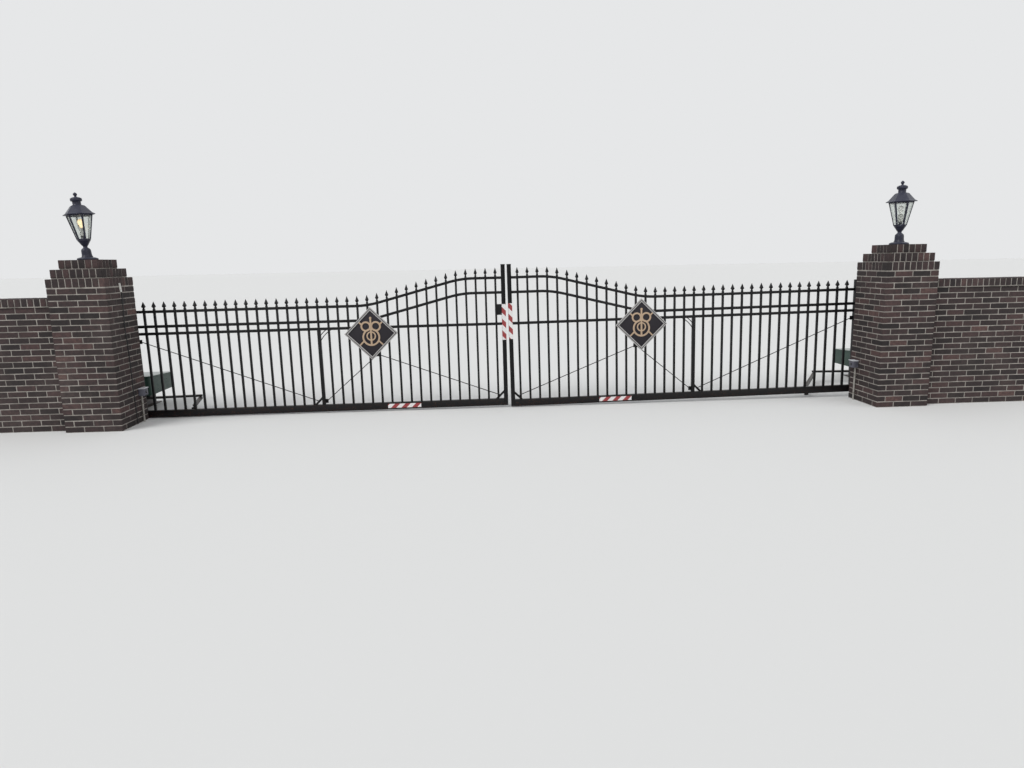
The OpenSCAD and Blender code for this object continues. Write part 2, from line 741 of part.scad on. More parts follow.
module left_lantern_bulb() { color("#ffd9a0") at_left() lantern_bulb(-1); }
module right_lantern_bulb() { color("#ffd9a0") at_right() lantern_bulb(1); }
module left_hinge_brackets() { color(iron) at_left() hinge_brackets(); }
module right_hinge_brackets() { color(iron) at_right() hinge_brackets(); }
module left_operator_stand() { color(iron) at_left() operator_stand(-1); }
module right_operator_stand() { color(iron) at_right() operator_stand(1); }
module left_operator_cover() { color("#3c5148") at_left() operator_cover(-1); }
module right_operator_cover() { color("#3c5148") at_right() operator_cover(1); }
module left_sensor() { color("#5a5f66") at_left() sensor(left_sensor_z); }
module right_sensor() { color("#5a5f66") at_right() sensor(right_sensor_z); }
module left_hinge_stile() { color(iron) at_left() hinge_stile(-1); }
module right_hinge_stile() { color(iron) at_right() hinge_stile(1); }
module left_meeting_stile() { color(iron) at_left() meeting_stile(-1); }
module right_meeting_stile() { color(iron) at_right() meeting_stile(1); }
module left_bottom_rail() { color(iron) at_left() bottom_rail(-1); }
module right_bottom_rail() { color(iron) at_right() bottom_rail(1); }
module left_upper_rails() { color(iron) at_left() upper_rails(-1); }
module right_upper_rails() { color(iron) at_right() upper_rails(1); }
module left_middle_post() { color(iron) at_left() middle_post(-1); }
module right_middle_post() { color(iron) at_right() middle_post(1); }
module left_pickets() { color(iron) at_left() pickets(-1); }
module right_pickets() { color(iron) at_right() pickets(1); }
module left_braces() { color(iron) at_left() braces(-1); }
module right_braces() { color(iron) at_right() braces(1); }
module left_diamond_frame() { color("#9a999b") at_left() diamond_frame(-1); }
module right_diamond_frame() { color("#9a999b") at_right() diamond_frame(1); }
module left_diamond_plate() { color("#2c2a2c") at_left() diamond_plate(-1); }
module right_diamond_plate() { color("#2c2a2c") at_right() diamond_plate(1); }
module left_ornament() { color("#a8895f") at_left() ornament(-1); }
module right_ornament() { color("#a8895f") at_right() ornament(1); }
module left_crank() { color(iron) at_left() crank(-1); }
module right_crank() { color(iron) at_right() crank(1); }
module left_link() { color(iron) at_left() link(-1); }
module right_link() { color(iron) at_right() link(1); }

left_pier();
right_pier();
left_pier_cap();
right_pier_cap();
left_wing_wall();
right_wing_wall();
left_wall_coping();
right_wall_coping();
left_lantern_cage();
right_lantern_cage();
left_lantern_glass();
right_lantern_glass();
left_lantern_roof();
right_lantern_roof();
left_lantern_bulb();
right_lantern_bulb();
left_hinge_brackets();
right_hinge_brackets();
left_operator_stand();
right_operator_stand();
left_operator_cover();
right_operator_cover();
left_sensor();
right_sensor();
lamp_cable();
left_hinge_stile();
right_hinge_stile();
left_meeting_stile();
right_meeting_stile();
left_bottom_rail();
right_bottom_rail();
left_upper_rails();
right_upper_rails();
left_middle_post();
right_middle_post();
left_pickets();
right_pickets();
left_braces();
right_braces();
left_diamond_frame();
right_diamond_frame();
left_diamond_plate();
right_diamond_plate();
left_ornament();
right_ornament();
lock_box();
left_crank();
right_crank();
left_link();
right_link();
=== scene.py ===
import json
import math
import random

import bmesh
import bpy
from mathutils import Matrix, Vector

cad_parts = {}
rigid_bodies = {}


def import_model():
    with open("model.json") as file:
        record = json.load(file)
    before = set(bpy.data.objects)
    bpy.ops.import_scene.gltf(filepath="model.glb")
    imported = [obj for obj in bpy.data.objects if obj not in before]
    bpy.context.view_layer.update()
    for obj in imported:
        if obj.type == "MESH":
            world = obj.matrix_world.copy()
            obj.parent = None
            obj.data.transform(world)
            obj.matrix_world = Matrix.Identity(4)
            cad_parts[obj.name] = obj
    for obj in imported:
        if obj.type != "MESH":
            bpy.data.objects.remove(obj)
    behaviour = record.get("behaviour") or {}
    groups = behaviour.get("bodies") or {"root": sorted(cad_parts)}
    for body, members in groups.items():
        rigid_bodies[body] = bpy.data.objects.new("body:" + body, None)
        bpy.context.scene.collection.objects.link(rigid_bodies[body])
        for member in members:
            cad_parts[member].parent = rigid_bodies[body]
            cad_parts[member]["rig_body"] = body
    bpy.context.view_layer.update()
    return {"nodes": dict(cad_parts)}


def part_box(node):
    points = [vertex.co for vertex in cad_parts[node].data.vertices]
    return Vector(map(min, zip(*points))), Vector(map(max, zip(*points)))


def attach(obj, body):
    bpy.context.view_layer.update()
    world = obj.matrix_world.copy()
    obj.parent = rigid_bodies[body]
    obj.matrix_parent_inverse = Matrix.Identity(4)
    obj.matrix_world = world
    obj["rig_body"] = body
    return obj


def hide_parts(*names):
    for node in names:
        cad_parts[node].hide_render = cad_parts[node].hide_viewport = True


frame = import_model()
SIDES = (("left", -1), ("right", 1))

# The view: a camera held at eye height near the middle of the drive, nine metres in front of the
# gate and tipped a little down, as the photograph was taken. The floor is plain and pale.
EYE = Vector((-0.3818, -8.8884, 1.8212))
PITCH, YAW, ROLL = math.radians(10.2565), math.radians(3.0069), math.radians(-1.1213)
lens = bpy.data.cameras.new("view")
lens.sensor_width = 36
lens.lens = 24.031
lens.clip_end = 400
camera = bpy.data.objects.new("view", lens)
camera.matrix_world = (
    Matrix.Translation(EYE)
    @ Matrix.Rotation(-YAW, 4, "Z")
    @ Matrix.Rotation(math.pi / 2 - PITCH, 4, "X")
    @ Matrix.Rotation(ROLL, 4, "Z")
)
bpy.context.scene.collection.objects.link(camera)
bpy.context.scene.camera = camera
bpy.context.scene.view_settings.view_transform = "Standard"


def colour(code):
    """An sRGB hex value as the linear colour that a shader takes."""
    parts = [int(code[k : k + 2], 16) / 255 for k in (1, 3, 5)]
    return (*(c / 12.92 if c <= 0.04045 else ((c + 0.055) / 1.055) ** 2.4 for c in parts), 1)


def wire(tree, kind, feeds=(), stops=(), **settings):
    """Adds one node with its settings. feeds gives each socket a value or an output to read."""
    node = tree.nodes.new("ShaderNode" + kind)
    for name, value in settings.items():
        setattr(node, name, value)
    for socket, source in dict(feeds).items():
        if isinstance(source, bpy.types.NodeSocket):
            tree.links.new(source, node.inputs[socket])
        else:
            node.inputs[socket].default_value = source
    for k, (place, code) in enumerate(stops):
        band = node.color_ramp.elements
        stop = band[k] if k < 2 else band.new(place)
        stop.position, stop.color = place, colour(code)
    return node.outputs


def new_finish(name, code, roughness, **sockets):
    """A material with one Principled shader. Returns it with its tree and its shader."""
    material = bpy.data.materials.new(name)
    material.use_nodes = True
    shader = material.node_tree.nodes["Principled BSDF"]
    shader.inputs["Base Color"].default_value = colour(code)
    shader.inputs["Roughness"].default_value = roughness
    for socket, value in sockets.items():
        shader.inputs[socket.replace("_", " ")].default_value = value
    return material, material.node_tree, shader


def shaped(name, bm, material, smooth=35):
    """Makes an object at the origin from a bmesh, shaded smooth below the given angle."""
    mesh = bpy.data.meshes.new(name)
    bm.to_mesh(mesh)
    bm.free()
    mesh.materials.append(material)
    if smooth:
        mesh.shade_smooth()
        mesh.set_sharp_from_angle(angle=math.radians(smooth))
    piece = bpy.data.objects.new(name, mesh)
    bpy.context.scene.collection.objects.link(piece)
    return piece


floor_paint = new_finish("pale_floor", "#dcdcda", 0.85)[0]
bm = bmesh.new()
bmesh.ops.create_grid(bm, x_segments=1, y_segments=1, size=150)
floor = shaped("floor", bm, floor_paint, smooth=0)

sky = bpy.data.worlds.new("studio")
bpy.context.scene.world = sky
sky.use_nodes = True
tree = sky.node_tree
tree.nodes.clear()
path = wire(tree, "LightPath")
seen = wire(
    tree, "Math", {0: path["Is Camera Ray"], 1: path["Is Glossy Ray"]}, operation="MAXIMUM"
)
seen = wire(tree, "Math", {0: seen[0], 1: path["Is Transmission Ray"]}, operation="MAXIMUM")
dome = wire(tree, "Background", {"Color": colour("#f4f6fa"), "Strength": 0.6})
backdrop = wire(tree, "Background", {"Color": colour("#e6e7e8"), "Strength": 1.0})
both = wire(tree, "MixShader", {0: seen[0], 1: dome[0], 2: backdrop[0]})
wire(tree, "OutputWorld", {"Surface": both[0]})
for name, energy, spread, height, turn in (
    ("key", 1.9, 35, 40, -52),
    ("fill", 0.7, 70, 25, 48),
):
    lamp = bpy.data.lights.new(name, "SUN")
    lamp.energy, lamp.angle = energy, math.radians(spread)
    light = bpy.data.objects.new(name, lamp)
    light.rotation_euler = (math.radians(90 - height), 0, math.radians(turn))
    bpy.context.scene.collection.objects.link(light)


# Brick piers: three bricks to a side in running bond, 24 courses of rough fired brick, flashed
# from charcoal to red-brown, bedded in pale cement mortar that is raked a few millimetres back.
COURSE, JOINT, HEAD_JOINT = 0.0672, 0.0102, 0.010
PIER_COURSES, BRICKS_A_SIDE = 24, 3
BRICK_L, BRICK_D, BRICK_H = 0.2033, 0.0967, 0.0570
RAKE, ARRIS = 0.005, 0.0028
SLACK, WOBBLE, SET_BACK = 0.0016, 0.0006, 0.0012
kiln = random.Random(11)

# Fired clay, wire cut: dull, with grit 2 mm across, darker where the kiln's smoke touched it
brick_clay, tree, shader = new_finish("fired_brick", "#40302c", 0.88)
place = wire(tree, "TexCoord")["Object"]
fired = wire(tree, "Attribute", attribute_name="fired")["Fac"]
mottle = wire(tree, "TexNoise", {"Vector": place, "Scale": 34, "Detail": 4, "Roughness": 0.62})
weather = wire(tree, "TexNoise", {"Vector": place, "Scale": 1.7, "Detail": 3})
grit = wire(tree, "TexNoise", {"Vector": place, "Scale": 420, "Detail": 2})
shift = wire(tree, "Math", {0: mottle[0], 1: 0.5}, operation="SUBTRACT")
tone = wire(tree, "Math", {0: shift[0], 1: 0.75, 2: fired}, operation="MULTIPLY_ADD")
burnt = wire(
    tree,
    "ValToRGB",
    {"Fac": tone[0]},
    stops=(
        (0.0, "#141011"),
        (1.0, "#604742"),
        (0.28, "#211a1a"),
        (0.5, "#2f2424"),
        (0.72, "#402e2d"),
        (0.86, "#4c3835"),
    ),
)
chalk = wire(
    tree, "MapRange", {"Value": weather[0], "From Min": 0.5, "From Max": 0.78, "To Max": 0.25}
)
bloom = wire(tree, "Math", {0: chalk[0], 1: mottle[0]}, operation="MULTIPLY")
faded = wire(
    tree, "Mix", {0: bloom[0], 6: burnt[0], 7: colour("#7f726c")}, data_type="RGBA"
)
tree.links.new(faded[2], shader.inputs["Base Color"])
rough = wire(tree, "Math", {0: grit[0], 1: mottle[0]}, operation="ADD")
relief = wire(tree, "Bump", {"Strength": 0.55, "Distance": 0.0016, "Height": rough[0]})
tree.links.new(relief[0], shader.inputs["Normal"])

# Cement and sand: pale and granular, clouded where damp has darkened it
mortar_mix, tree, shader = new_finish("sand_mortar", "#a09890", 0.95)
place = wire(tree, "TexCoord")["Object"]
sand = wire(tree, "TexNoise", {"Vector": place, "Scale": 520, "Detail": 3})
cloud = wire(tree, "TexNoise", {"Vector": place, "Scale": 9, "Detail": 4})
blend = wire(tree, "Math", {0: sand[0], 1: 0.35, 2: cloud[0]}, operation="MULTIPLY_ADD")
bed = wire(
    tree,
    "ValToRGB",
    {"Fac": blend[0]},
    stops=((0.3, "#57534f"), (0.95, "#a8a29b"), (0.6, "#85807a")),
)
tree.links.new(bed[0], shader.inputs["Base Color"])
relief = wire(tree, "Bump", {"Strength": 0.7, "Distance": 0.0015, "Height": sand[0]})
tree.links.new(relief[0], shader.inputs["Normal"])


class Masonry:
    """Bricks laid one at a time into one mesh, over a core of mortar."""

    def __init__(self, name):
        self.name = name
        self.bricks = bmesh.new()
        self.core = bmesh.new()
        self.tones = []

    def brick(self, low, high):
        """One brick between two corners, its arrises worn and its bed a little out of true."""
        low, high = Vector(low), Vector(high)
        low, high = Vector(map(min, low, high)), Vector(map(max, low, high))
        one = bmesh.new()
        size = high - low
        slack = Vector([kiln.uniform(0, SLACK) for _ in range(3)])
        stand = Matrix.Translation((low + high) / 2) @ Matrix.Diagonal((*(size - slack), 1))
        bmesh.ops.create_cube(one, size=1, matrix=stand)
        bmesh.ops.bevel(
            one,
            geom=one.edges[:],
            offset=ARRIS * kiln.uniform(0.7, 1.3),
            affect="EDGES",
            segments=1,
            profile=0.5,
            material=-1,
        )
        for v in one.verts:
            v.co += Vector([kiln.uniform(-WOBBLE, WOBBLE) for _ in range(3)])
        self.tones += [min(1, max(0, kiln.gauss(0.48, 0.15)))] * len(one.verts)
        cast = bpy.data.meshes.new("brick")
        one.to_mesh(cast)
        one.free()
        self.bricks.from_mesh(cast)
        bpy.data.meshes.remove(cast)

    def mortar(self, low, high):
        """A block of the mortar behind the bricks' faces."""
        low, high = Vector(low), Vector(high)
        stand = Matrix.Translation((low + high) / 2) @ Matrix.Diagonal((*(high - low), 1))
        made = set(bmesh.ops.create_cube(self.core, size=1, matrix=stand)["verts"])
        rims = [e for e in self.core.edges if e.verts[0] in made]
        bmesh.ops.subdivide_edges(self.core, edges=rims, cuts=3, use_grid_fill=True)

    def built(self, *nodes):
        """Finishes both pieces; together they stand for the solids named."""
        for part, bm, material in (
            ("bricks", self.bricks, brick_clay),
            ("mortar", self.core, mortar_mix),
        ):
            piece = shaped(f"{self.name}_{part}", bm, material, smooth=0)
            if part == "bricks":
                shade = piece.data.attributes.new("fired", "FLOAT", "POINT")
                shade.data.foreach_set("value", self.tones)
            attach(piece, "posts")
            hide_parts(*nodes)


BRICK_RUN, CORNER_JOINT = BRICK_L + HEAD_JOINT, 0.0117
for side, hand in SIDES:
    low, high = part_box(f"{side}_pier")
    shaft = Masonry(f"{side}_pier")
    wide = high.x - low.x
    for course in range(PIER_COURSES):
        z = course * COURSE + JOINT / 2
        rows = []
        for v in (0, wide - BRICK_D):
            rows += [(k * BRICK_RUN, v, BRICK_L, BRICK_D) for k in range(BRICKS_A_SIDE)]
            rows += [
                (v, BRICK_D + CORNER_JOINT + k * BRICK_RUN, BRICK_D, BRICK_L)
                for k in range(BRICKS_A_SIDE - 1)
            ]
        for u, v, du, dv in rows:
            if course % 2:
                u, v, du, dv = v, u, dv, du
            back = kiln.uniform(0, SET_BACK)
            shaft.brick(
                (low.x + max(u, back), low.y + max(v, back), z),
                (
                    low.x + min(u + du, wide - back),
                    low.y + min(v + dv, wide - back),
                    z + BRICK_H,
                ),
            )
    shaft.mortar(
        (low.x + RAKE, low.y + RAKE, 0), (high.x - RAKE, high.y - RAKE, high.z)
    )
    shaft.built(f"{side}_pier")


# Pier caps: three courses of bricks on edge, the lower flush with the shaft and the two above
# each set in, their ends outwards on all four sides, with the bed joint as thick as below.
CAP_COURSE, CAP_INS = 0.1016, (0.0, 0.040, 0.105)
EDGE_W, EDGE_DEPTH = 0.0570, 0.105
CAP_BED = JOINT - 0.001
TOP_RAKE, STEP_RAKE = 0.004, 0.002
for side, hand in SIDES:
    low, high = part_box(f"{side}_pier_cap")
    cap = Masonry(f"{side}_pier_cap")
    for step, inset in enumerate(CAP_INS):
        z0 = low.z + step * CAP_COURSE + CAP_BED
        z1 = low.z + (step + 1) * CAP_COURSE
        x0, x1, y0, y1 = low.x + inset, high.x - inset, low.y + inset, high.y - inset
        wide = x1 - x0
        count = round(wide / (EDGE_W + JOINT))
        pitch = (wide + JOINT) / count
        for k in range(count):
            for y in (y0, y1 - EDGE_DEPTH):
                cap.brick(
                    (x0 + k * pitch, y, z0),
                    (x0 + k * pitch + pitch - JOINT, y + EDGE_DEPTH, z1),
                )
        inner = wide - 2 * (EDGE_DEPTH + JOINT)
        rows = max(1, round(inner / (EDGE_W + JOINT)))
        run = (inner + JOINT) / rows
        for k in range(rows):
            y = y0 + EDGE_DEPTH + JOINT + k * run
            for x in (x0, x1 - EDGE_DEPTH):
                cap.brick((x, y, z0), (x + EDGE_DEPTH, y + run - JOINT, z1))
            if step == 2:
                cap.brick(
                    (x0 + EDGE_DEPTH + JOINT, y, z0),
                    (x1 - EDGE_DEPTH - JOINT, y + run - JOINT, z1),
                )
        cap.mortar(
            (x0 + RAKE, y0 + RAKE, low.z + step * CAP_COURSE),
            (x1 - RAKE, y1 - RAKE, z1 - (TOP_RAKE if step == 2 else STEP_RAKE)),
        )
    cap.built(f"{side}_pier_cap")


# Wing walls: short stubs of the same brick, a brick and a half thick, in stretchers, that butt
# against the piers; their coping is one row of bricks on edge, laid across the wall.
WALL_COURSES = 21

# A brick that would end less than CUT_TO_END from the wall's end is cut to reach it, and none
# shorter than SHORTEST_PIECE is laid; the coping's mortar stops a hair short of its last bricks
CUT_TO_END, SHORTEST_PIECE, HAIR = 0.03, 0.012, 0.001
for side, hand in SIDES:
    low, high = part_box(f"{side}_wing_wall")
    wall = Masonry(f"{side}_wing_wall")
    root = low.x if hand > 0 else high.x
    long = high.x - low.x
    thick = high.y - low.y
    for course in range(WALL_COURSES):
        z = course * COURSE + JOINT / 2
        at = -BRICK_RUN / 2 if course % 2 else 0.0
        while at < long - SHORTEST_PIECE:
            s0, s1 = max(at, 0), at + BRICK_L
            s1 = long if s1 > long - CUT_TO_END else s1
            wythes = [0, thick - BRICK_D]
            if s1 > long - SHORTEST_PIECE:
                wythes.append((thick - BRICK_D) / 2)
            for y in wythes:
                back = kiln.uniform(0, SET_BACK)
                wall.brick(
                    (root + hand * s0, low.y + max(y, back), z),
                    (root + hand * s1, low.y + min(y + BRICK_D, thick - back), z + BRICK_H),
                )
            at += BRICK_RUN
    ends = sorted((root, root + hand * (long - RAKE)))
    wall.mortar((ends[0], low.y + RAKE, 0), (ends[1], high.y - RAKE, high.z))
    wall.built(f"{side}_wing_wall")

    low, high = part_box(f"{side}_wall_coping")
    coping = Masonry(f"{side}_wall_coping")
    count = round((high.x - low.x) / (EDGE_W + JOINT))
    pitch = (high.x - low.x + JOINT) / count
    wide = high.y - low.y
    for k in range(count):
        x = low.x + k * pitch
        cut = BRICK_L if k % 2 else wide - BRICK_L - JOINT
        for y0, y1 in ((low.y, low.y + cut), (low.y + cut + JOINT, high.y)):
            coping.brick((x, y0, low.z + CAP_BED - HAIR), (x + pitch - JOINT, y1, high.z))
    coping.mortar(
        (low.x + HAIR, low.y + RAKE, low.z),
        (high.x - HAIR, high.y - RAKE, high.z - TOP_RAKE),
    )
    coping.built(f"{side}_wall_coping")


# Gate leaves: square steel stiles, posts and rails, welded, with pickets that pass through holes
# punched in the rails; all of it is brush painted in black and has stood outdoors for years.
def outdoor_paint(name, code, shine, dust_and_sheen, dust_and_sheen_most, rust_low=0.0, rust_high=0.4):
    """Alkyd paint on metal: orange peel, patchy gloss, a paler tone on its upper faces that is
    dust and, for some finishes, a painted highlight of the sky, and rust spots that grow in
    number from the height rust_high down to the ground."""
    material, tree, shader = new_finish(name, code, shine, Specular_IOR_Level=0.25)
    geometry = wire(tree, "NewGeometry")
    place = wire(tree, "TexCoord")["Object"]
    facing = wire(tree, "SeparateXYZ", {0: geometry["Normal"]})
    height = wire(tree, "SeparateXYZ", {0: place})
    peel = wire(tree, "TexNoise", {"Vector": place, "Scale": 260, "Detail": 1})
    patch = wire(tree, "TexNoise", {"Vector": place, "Scale": 23, "Detail": 5, "Roughness": 0.6})
    speck = wire(tree, "TexNoise", {"Vector": place, "Scale": 95, "Detail": 4, "Roughness": 0.7})
    # Upward faces are mixed towards a paler colour: dust, and for the green cover and the
    # lanterns a painted highlight of the sky.
    upward = wire(
        tree,
        "MapRange",
        {"Value": facing["Z"], "From Min": 0.4, "From Max": 1.0, "To Max": dust_and_sheen_most},
    )
    dust_and_sheen_mask = wire(tree, "Math", {0: upward[0], 1: patch[0]}, operation="MULTIPLY")
    dust_and_sheen_mixed = wire(
        tree, "Mix", {0: dust_and_sheen_mask[0], 6: colour(code), 7: colour(dust_and_sheen)}, data_type="RGBA"
    )
    low_down = wire(
        tree,
        "MapRange",
        {"Value": height["Z"], "From Max": rust_high, "To Min": rust_low, "To Max": 0.0},
    )
    spots = wire(tree, "Math", {0: speck[0], 1: low_down[0]}, operation="ADD")
    rusty = wire(
        tree, "MapRange", {"Value": spots[0], "From Min": 0.7, "From Max": 0.76, "To Max": 0.85}
    )
    rusted = wire(
        tree, "Mix", {0: rusty[0], 6: dust_and_sheen_mixed[2], 7: colour("#5a3524")}, data_type="RGBA"
    )
    tree.links.new(rusted[2], shader.inputs["Base Color"])
    dull = wire(
        tree,
        "MapRange",
        {
            "Value": patch[0],
            "From Min": 0.3,
            "From Max": 0.7,
            "To Min": shine - 0.08,
            "To Max": shine + 0.14,
        },
    )
    tree.links.new(dull[0], shader.inputs["Roughness"])
    relief = wire(tree, "Bump", {"Strength": 0.12, "Distance": 0.0006, "Height": peel[0]})
    tree.links.new(relief[0], shader.inputs["Normal"])
    return material


black_paint = outdoor_paint("black_gate_paint", "#0a0a0c", 0.42, "#5d5954", 0.3, 0.13)


def eased(node, edge, material, smooth=40, turn=30, shortest=0.0):
    """A copy of a solid with its sharp outer edges eased by a small radius. It rides on the
    solid's own body and stands for it."""
    body = frame["nodes"][node]["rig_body"]
    bm = bmesh.new()
    bm.from_mesh(frame["nodes"][node].data)
    bmesh.ops.remove_doubles(bm, verts=bm.verts[:], dist=2e-5)
    bmesh.ops.dissolve_limit(
        bm, angle_limit=math.radians(0.8), verts=bm.verts[:], edges=bm.edges[:]
    )
    sharp = [
        e
        for e in bm.edges
        if len(e.link_faces) == 2
        and e.calc_face_angle_signed(0) > math.radians(turn)
        and e.calc_length() > shortest
    ]
    if sharp:
        bmesh.ops.bevel(
            bm,
            geom=sharp,
            offset=edge,
            affect="EDGES",
            segments=2,
            profile=0.5,
            clamp_overlap=True,
            material=-1,
        )
    piece = shaped(f"{node}_eased", bm, material, smooth)
    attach(piece, body)
    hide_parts(node)
    return piece


def dressed(node, material):
    """A solid whose own shape stays, in its finish."""
    solid = frame["nodes"][node]
    if not solid.material_slots:
        solid.data.materials.append(material)
    for slot in solid.material_slots:
        slot.material = material


# Where the leaves meet, how far each meeting stile's middle lies from there, and for each leaf
# its gap over the ground and the degrees by which it hangs
MEET, STILE_OFF = 0.028, 0.045
HANG = {"left": (0.030, -0.3), "right": (0.012, 0.8)}


def hung(side, hand):
    """Turns what is drawn on a level leaf to the small angle at which the real leaf hangs."""
    low, angle = HANG[side]
    foot = Matrix.Translation((MEET + hand * STILE_OFF, 0, low))
    return foot @ Matrix.Rotation(-hand * math.radians(angle), 4, "Y") @ foot.inverted()


for side, hand in SIDES:
    for part in ("hinge_stile", "meeting_stile", "bottom_rail", "middle_post"):
        eased(f"{side}_{part}", 0.0022, black_paint)
    eased(f"{side}_upper_rails", 0.0015, black_paint, shortest=0.05)
    eased(f"{side}_pickets", 0.0014, black_paint, shortest=0.004)
    eased(f"{side}_braces", 0.001, black_paint)
    eased(f"{side}_hinge_brackets", 0.0015, black_paint)
eased("lock_box", 0.003, black_paint)


# Warning tape: retroreflective sheeting in red and white bars, stuck to the front of both
# meeting stiles at bumper height and to each bottom rail. Glass beads give it a fine honeycomb,
# drawn 3 mm wide so that it shows, and road dirt dulls it in patches.
TAPE_T = 0.0006
sheeting, tree, shader = new_finish("warning_sheeting", "#d8d4d2", 0.42)
place = wire(tree, "TexCoord")["Object"]
run = wire(tree, "Attribute", attribute_name="run")["Fac"]
phase = wire(tree, "Math", {0: run}, operation="FRACT")
bars = wire(
    tree, "ValToRGB", {"Fac": phase[0]}, stops=((0.0, "#8f2b2e"), (0.5, "#dcd9d8"))
)
bars[0].node.color_ramp.interpolation = "CONSTANT"
soil = wire(tree, "TexNoise", {"Vector": place, "Scale": 60, "Detail": 5, "Roughness": 0.7})
worn = wire(
    tree, "MapRange", {"Value": soil[0], "From Min": 0.45, "From Max": 0.8, "To Max": 0.45}
)
aged = wire(tree, "Mix", {0: worn[0], 6: bars[0], 7: colour("#6e6864")}, data_type="RGBA")
tree.links.new(aged[2], shader.inputs["Base Color"])
beads = wire(tree, "TexVoronoi", {"Vector": place, "Scale": 300})
relief = wire(tree, "Bump", {"Strength": 0.2, "Distance": 0.0003, "Height": beads["Distance"]})
tree.links.new(relief[0], shader.inputs["Normal"])


def tape(name, side, hand, middle, wide, tall, bars):
    """A strip on a front face, its edges pressed round. bars gives how far one pair of bars
    runs across the strip and up it, and the place of the first red one."""
    across, up, first = bars
    bm = bmesh.new()
    size = Matrix.Diagonal((wide, TAPE_T, tall, 1))
    bmesh.ops.create_cube(bm, size=1, matrix=size)
    bmesh.ops.bevel(
        bm, geom=bm.edges[:], offset=0.0002, affect="EDGES", segments=1, profile=0.5, material=-1
    )
    runs = [v.co.x / across + (tall / 2 - v.co.z) / up - first for v in bm.verts]
    bm.transform(hung(side, hand) @ Matrix.Translation(middle))
    piece = shaped(name, bm, sheeting)
    piece.data.attributes.new("run", "FLOAT", "POINT").data.foreach_set("value", runs)
    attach(piece, f"{side}_leaf")


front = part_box("left_bottom_rail")[0].y - TAPE_T / 2
for side, hand, stile_z, first, rail_x, rail_z in (
    ("left", -1, 1.076, 0.40, -1.285, 0.0725),
    ("right", 1, 1.084, 0.05, 1.370, 0.0545),
):
    spot = (MEET + hand * STILE_OFF, front, stile_z)
    tape(
        f"{side}_stile_tape", side, hand, spot, wide=0.049, tall=0.44, bars=(-0.144, 0.144, first)
    )
    spot = (rail_x, front, rail_z)
    tape(
        f"{side}_rail_tape", side, hand, spot, wide=0.41, tall=0.052, bars=(0.130, 0.130, 0.085)
    )


# Diamonds: a frame of pale grey channel with its open side to the front, so that two lips run
# round a groove whose floor is painted charcoal as painted shade, a charcoal plate behind it and
# an ornament cut from plate in old gold.
frame_grey = outdoor_paint("pale_grey_paint", "#a5a3a1", 0.42, "#b5b1aa", 0.5, 0.02, 1.6)
plate_dark = outdoor_paint("charcoal_paint", "#242126", 0.5, "#77716a", 0.4)
old_gold = outdoor_paint("old_gold_paint", "#ad967e", 0.4, "#b5a88f", 0.5, 0.03, 1.6)
LIP, GROOVE, CHANNEL_W = 0.0110, 0.005, 0.030
for side, hand in SIDES:
    low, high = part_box(f"{side}_diamond_frame")
    middle = (low + high) / 2
    reach = (high.x - low.x) / 2 - CHANNEL_W * math.sqrt(2)
    section = (
        (0, high.y),
        (0, low.y),
        (LIP, low.y),
        (LIP, low.y + GROOVE),
        (CHANNEL_W - LIP, low.y + GROOVE),
        (CHANNEL_W - LIP, low.y),
        (CHANNEL_W, low.y),
        (CHANNEL_W, high.y),
    )
    bm = bmesh.new()
    corner = [bm.verts.new((reach + d * math.sqrt(2), y, 0)) for d, y in section]
    outline = [bm.edges.new(ends) for ends in zip(corner, corner[1:] + corner[:1])]
    bmesh.ops.spin(
        bm,
        geom=corner + outline,
        cent=(0, 0, 0),
        axis=(0, 1, 0),
        angle=math.tau,
        steps=4,
        use_merge=True,
    )
    turn = Matrix.Rotation(-hand * math.radians(HANG[side][1]), 4, "Y")
    bm.transform(Matrix.Translation((middle.x, 0, middle.z)) @ turn)
    bmesh.ops.recalc_face_normals(bm, faces=bm.faces[:])
    arrises = [e for e in bm.edges if e.calc_face_angle_signed(0) > math.radians(60)]
    bmesh.ops.bevel(
        bm, geom=arrises, offset=0.0012, affect="EDGES", segments=2, profile=0.5, material=-1
    )
    # The groove's floor takes the charcoal plate paint: painted shade in the recess.
    for face in bm.faces:
        if face.normal.y < -0.9 and face.calc_center_median().y > low.y + GROOVE / 2:
            face.material_index = 1
    piece = shaped(f"{side}_diamond_channel", bm, frame_grey)
    piece.data.materials.append(plate_dark)
    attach(piece, f"{side}_leaf")
    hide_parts(f"{side}_diamond_frame")
    eased(f"{side}_diamond_plate", 0.0012, plate_dark)
    eased(f"{side}_ornament", 0.0018, old_gold)


# Lanterns: a turned foot and neck, six panes in a cage of thin bar that widens upwards, and a
# folded and spun roof with a knob, all in dark paint. A globe bulb stands on a pale sleeve.
# The paler bluish colour this paint takes on upward faces is partly dust and partly a painted
# highlight of the sky on the roof and the eave's rim.
lamp_paint = outdoor_paint("lantern_paint", "#292a37", 0.34, "#62646f", 0.6)

# Seeded glass: clear, with bubbles 25 mm apart that bend what is seen through it, and a haze of
# rain marks that clouds the highlights
pane, tree, shader = new_finish(
    "seeded_glass", "#eef1ee", 0.06, Transmission_Weight=1.0, IOR=1.46, Alpha=1.0
)
place = wire(tree, "TexCoord")["Object"]
seeds = wire(tree, "TexNoise", {"Vector": place, "Scale": 40, "Detail": 2})
film = wire(tree, "TexNoise", {"Vector": place, "Scale": 12, "Detail": 5, "Roughness": 0.65})
haze = wire(
    tree,
    "MapRange",
    {"Value": film[0], "From Min": 0.35, "From Max": 0.75, "To Min": 0.04, "To Max": 0.3},
)
tree.links.new(haze[0], shader.inputs["Roughness"])
relief = wire(tree, "Bump", {"Strength": 0.1, "Distance": 0.001, "Height": seeds[0]})
tree.links.new(relief[0], shader.inputs["Normal"])


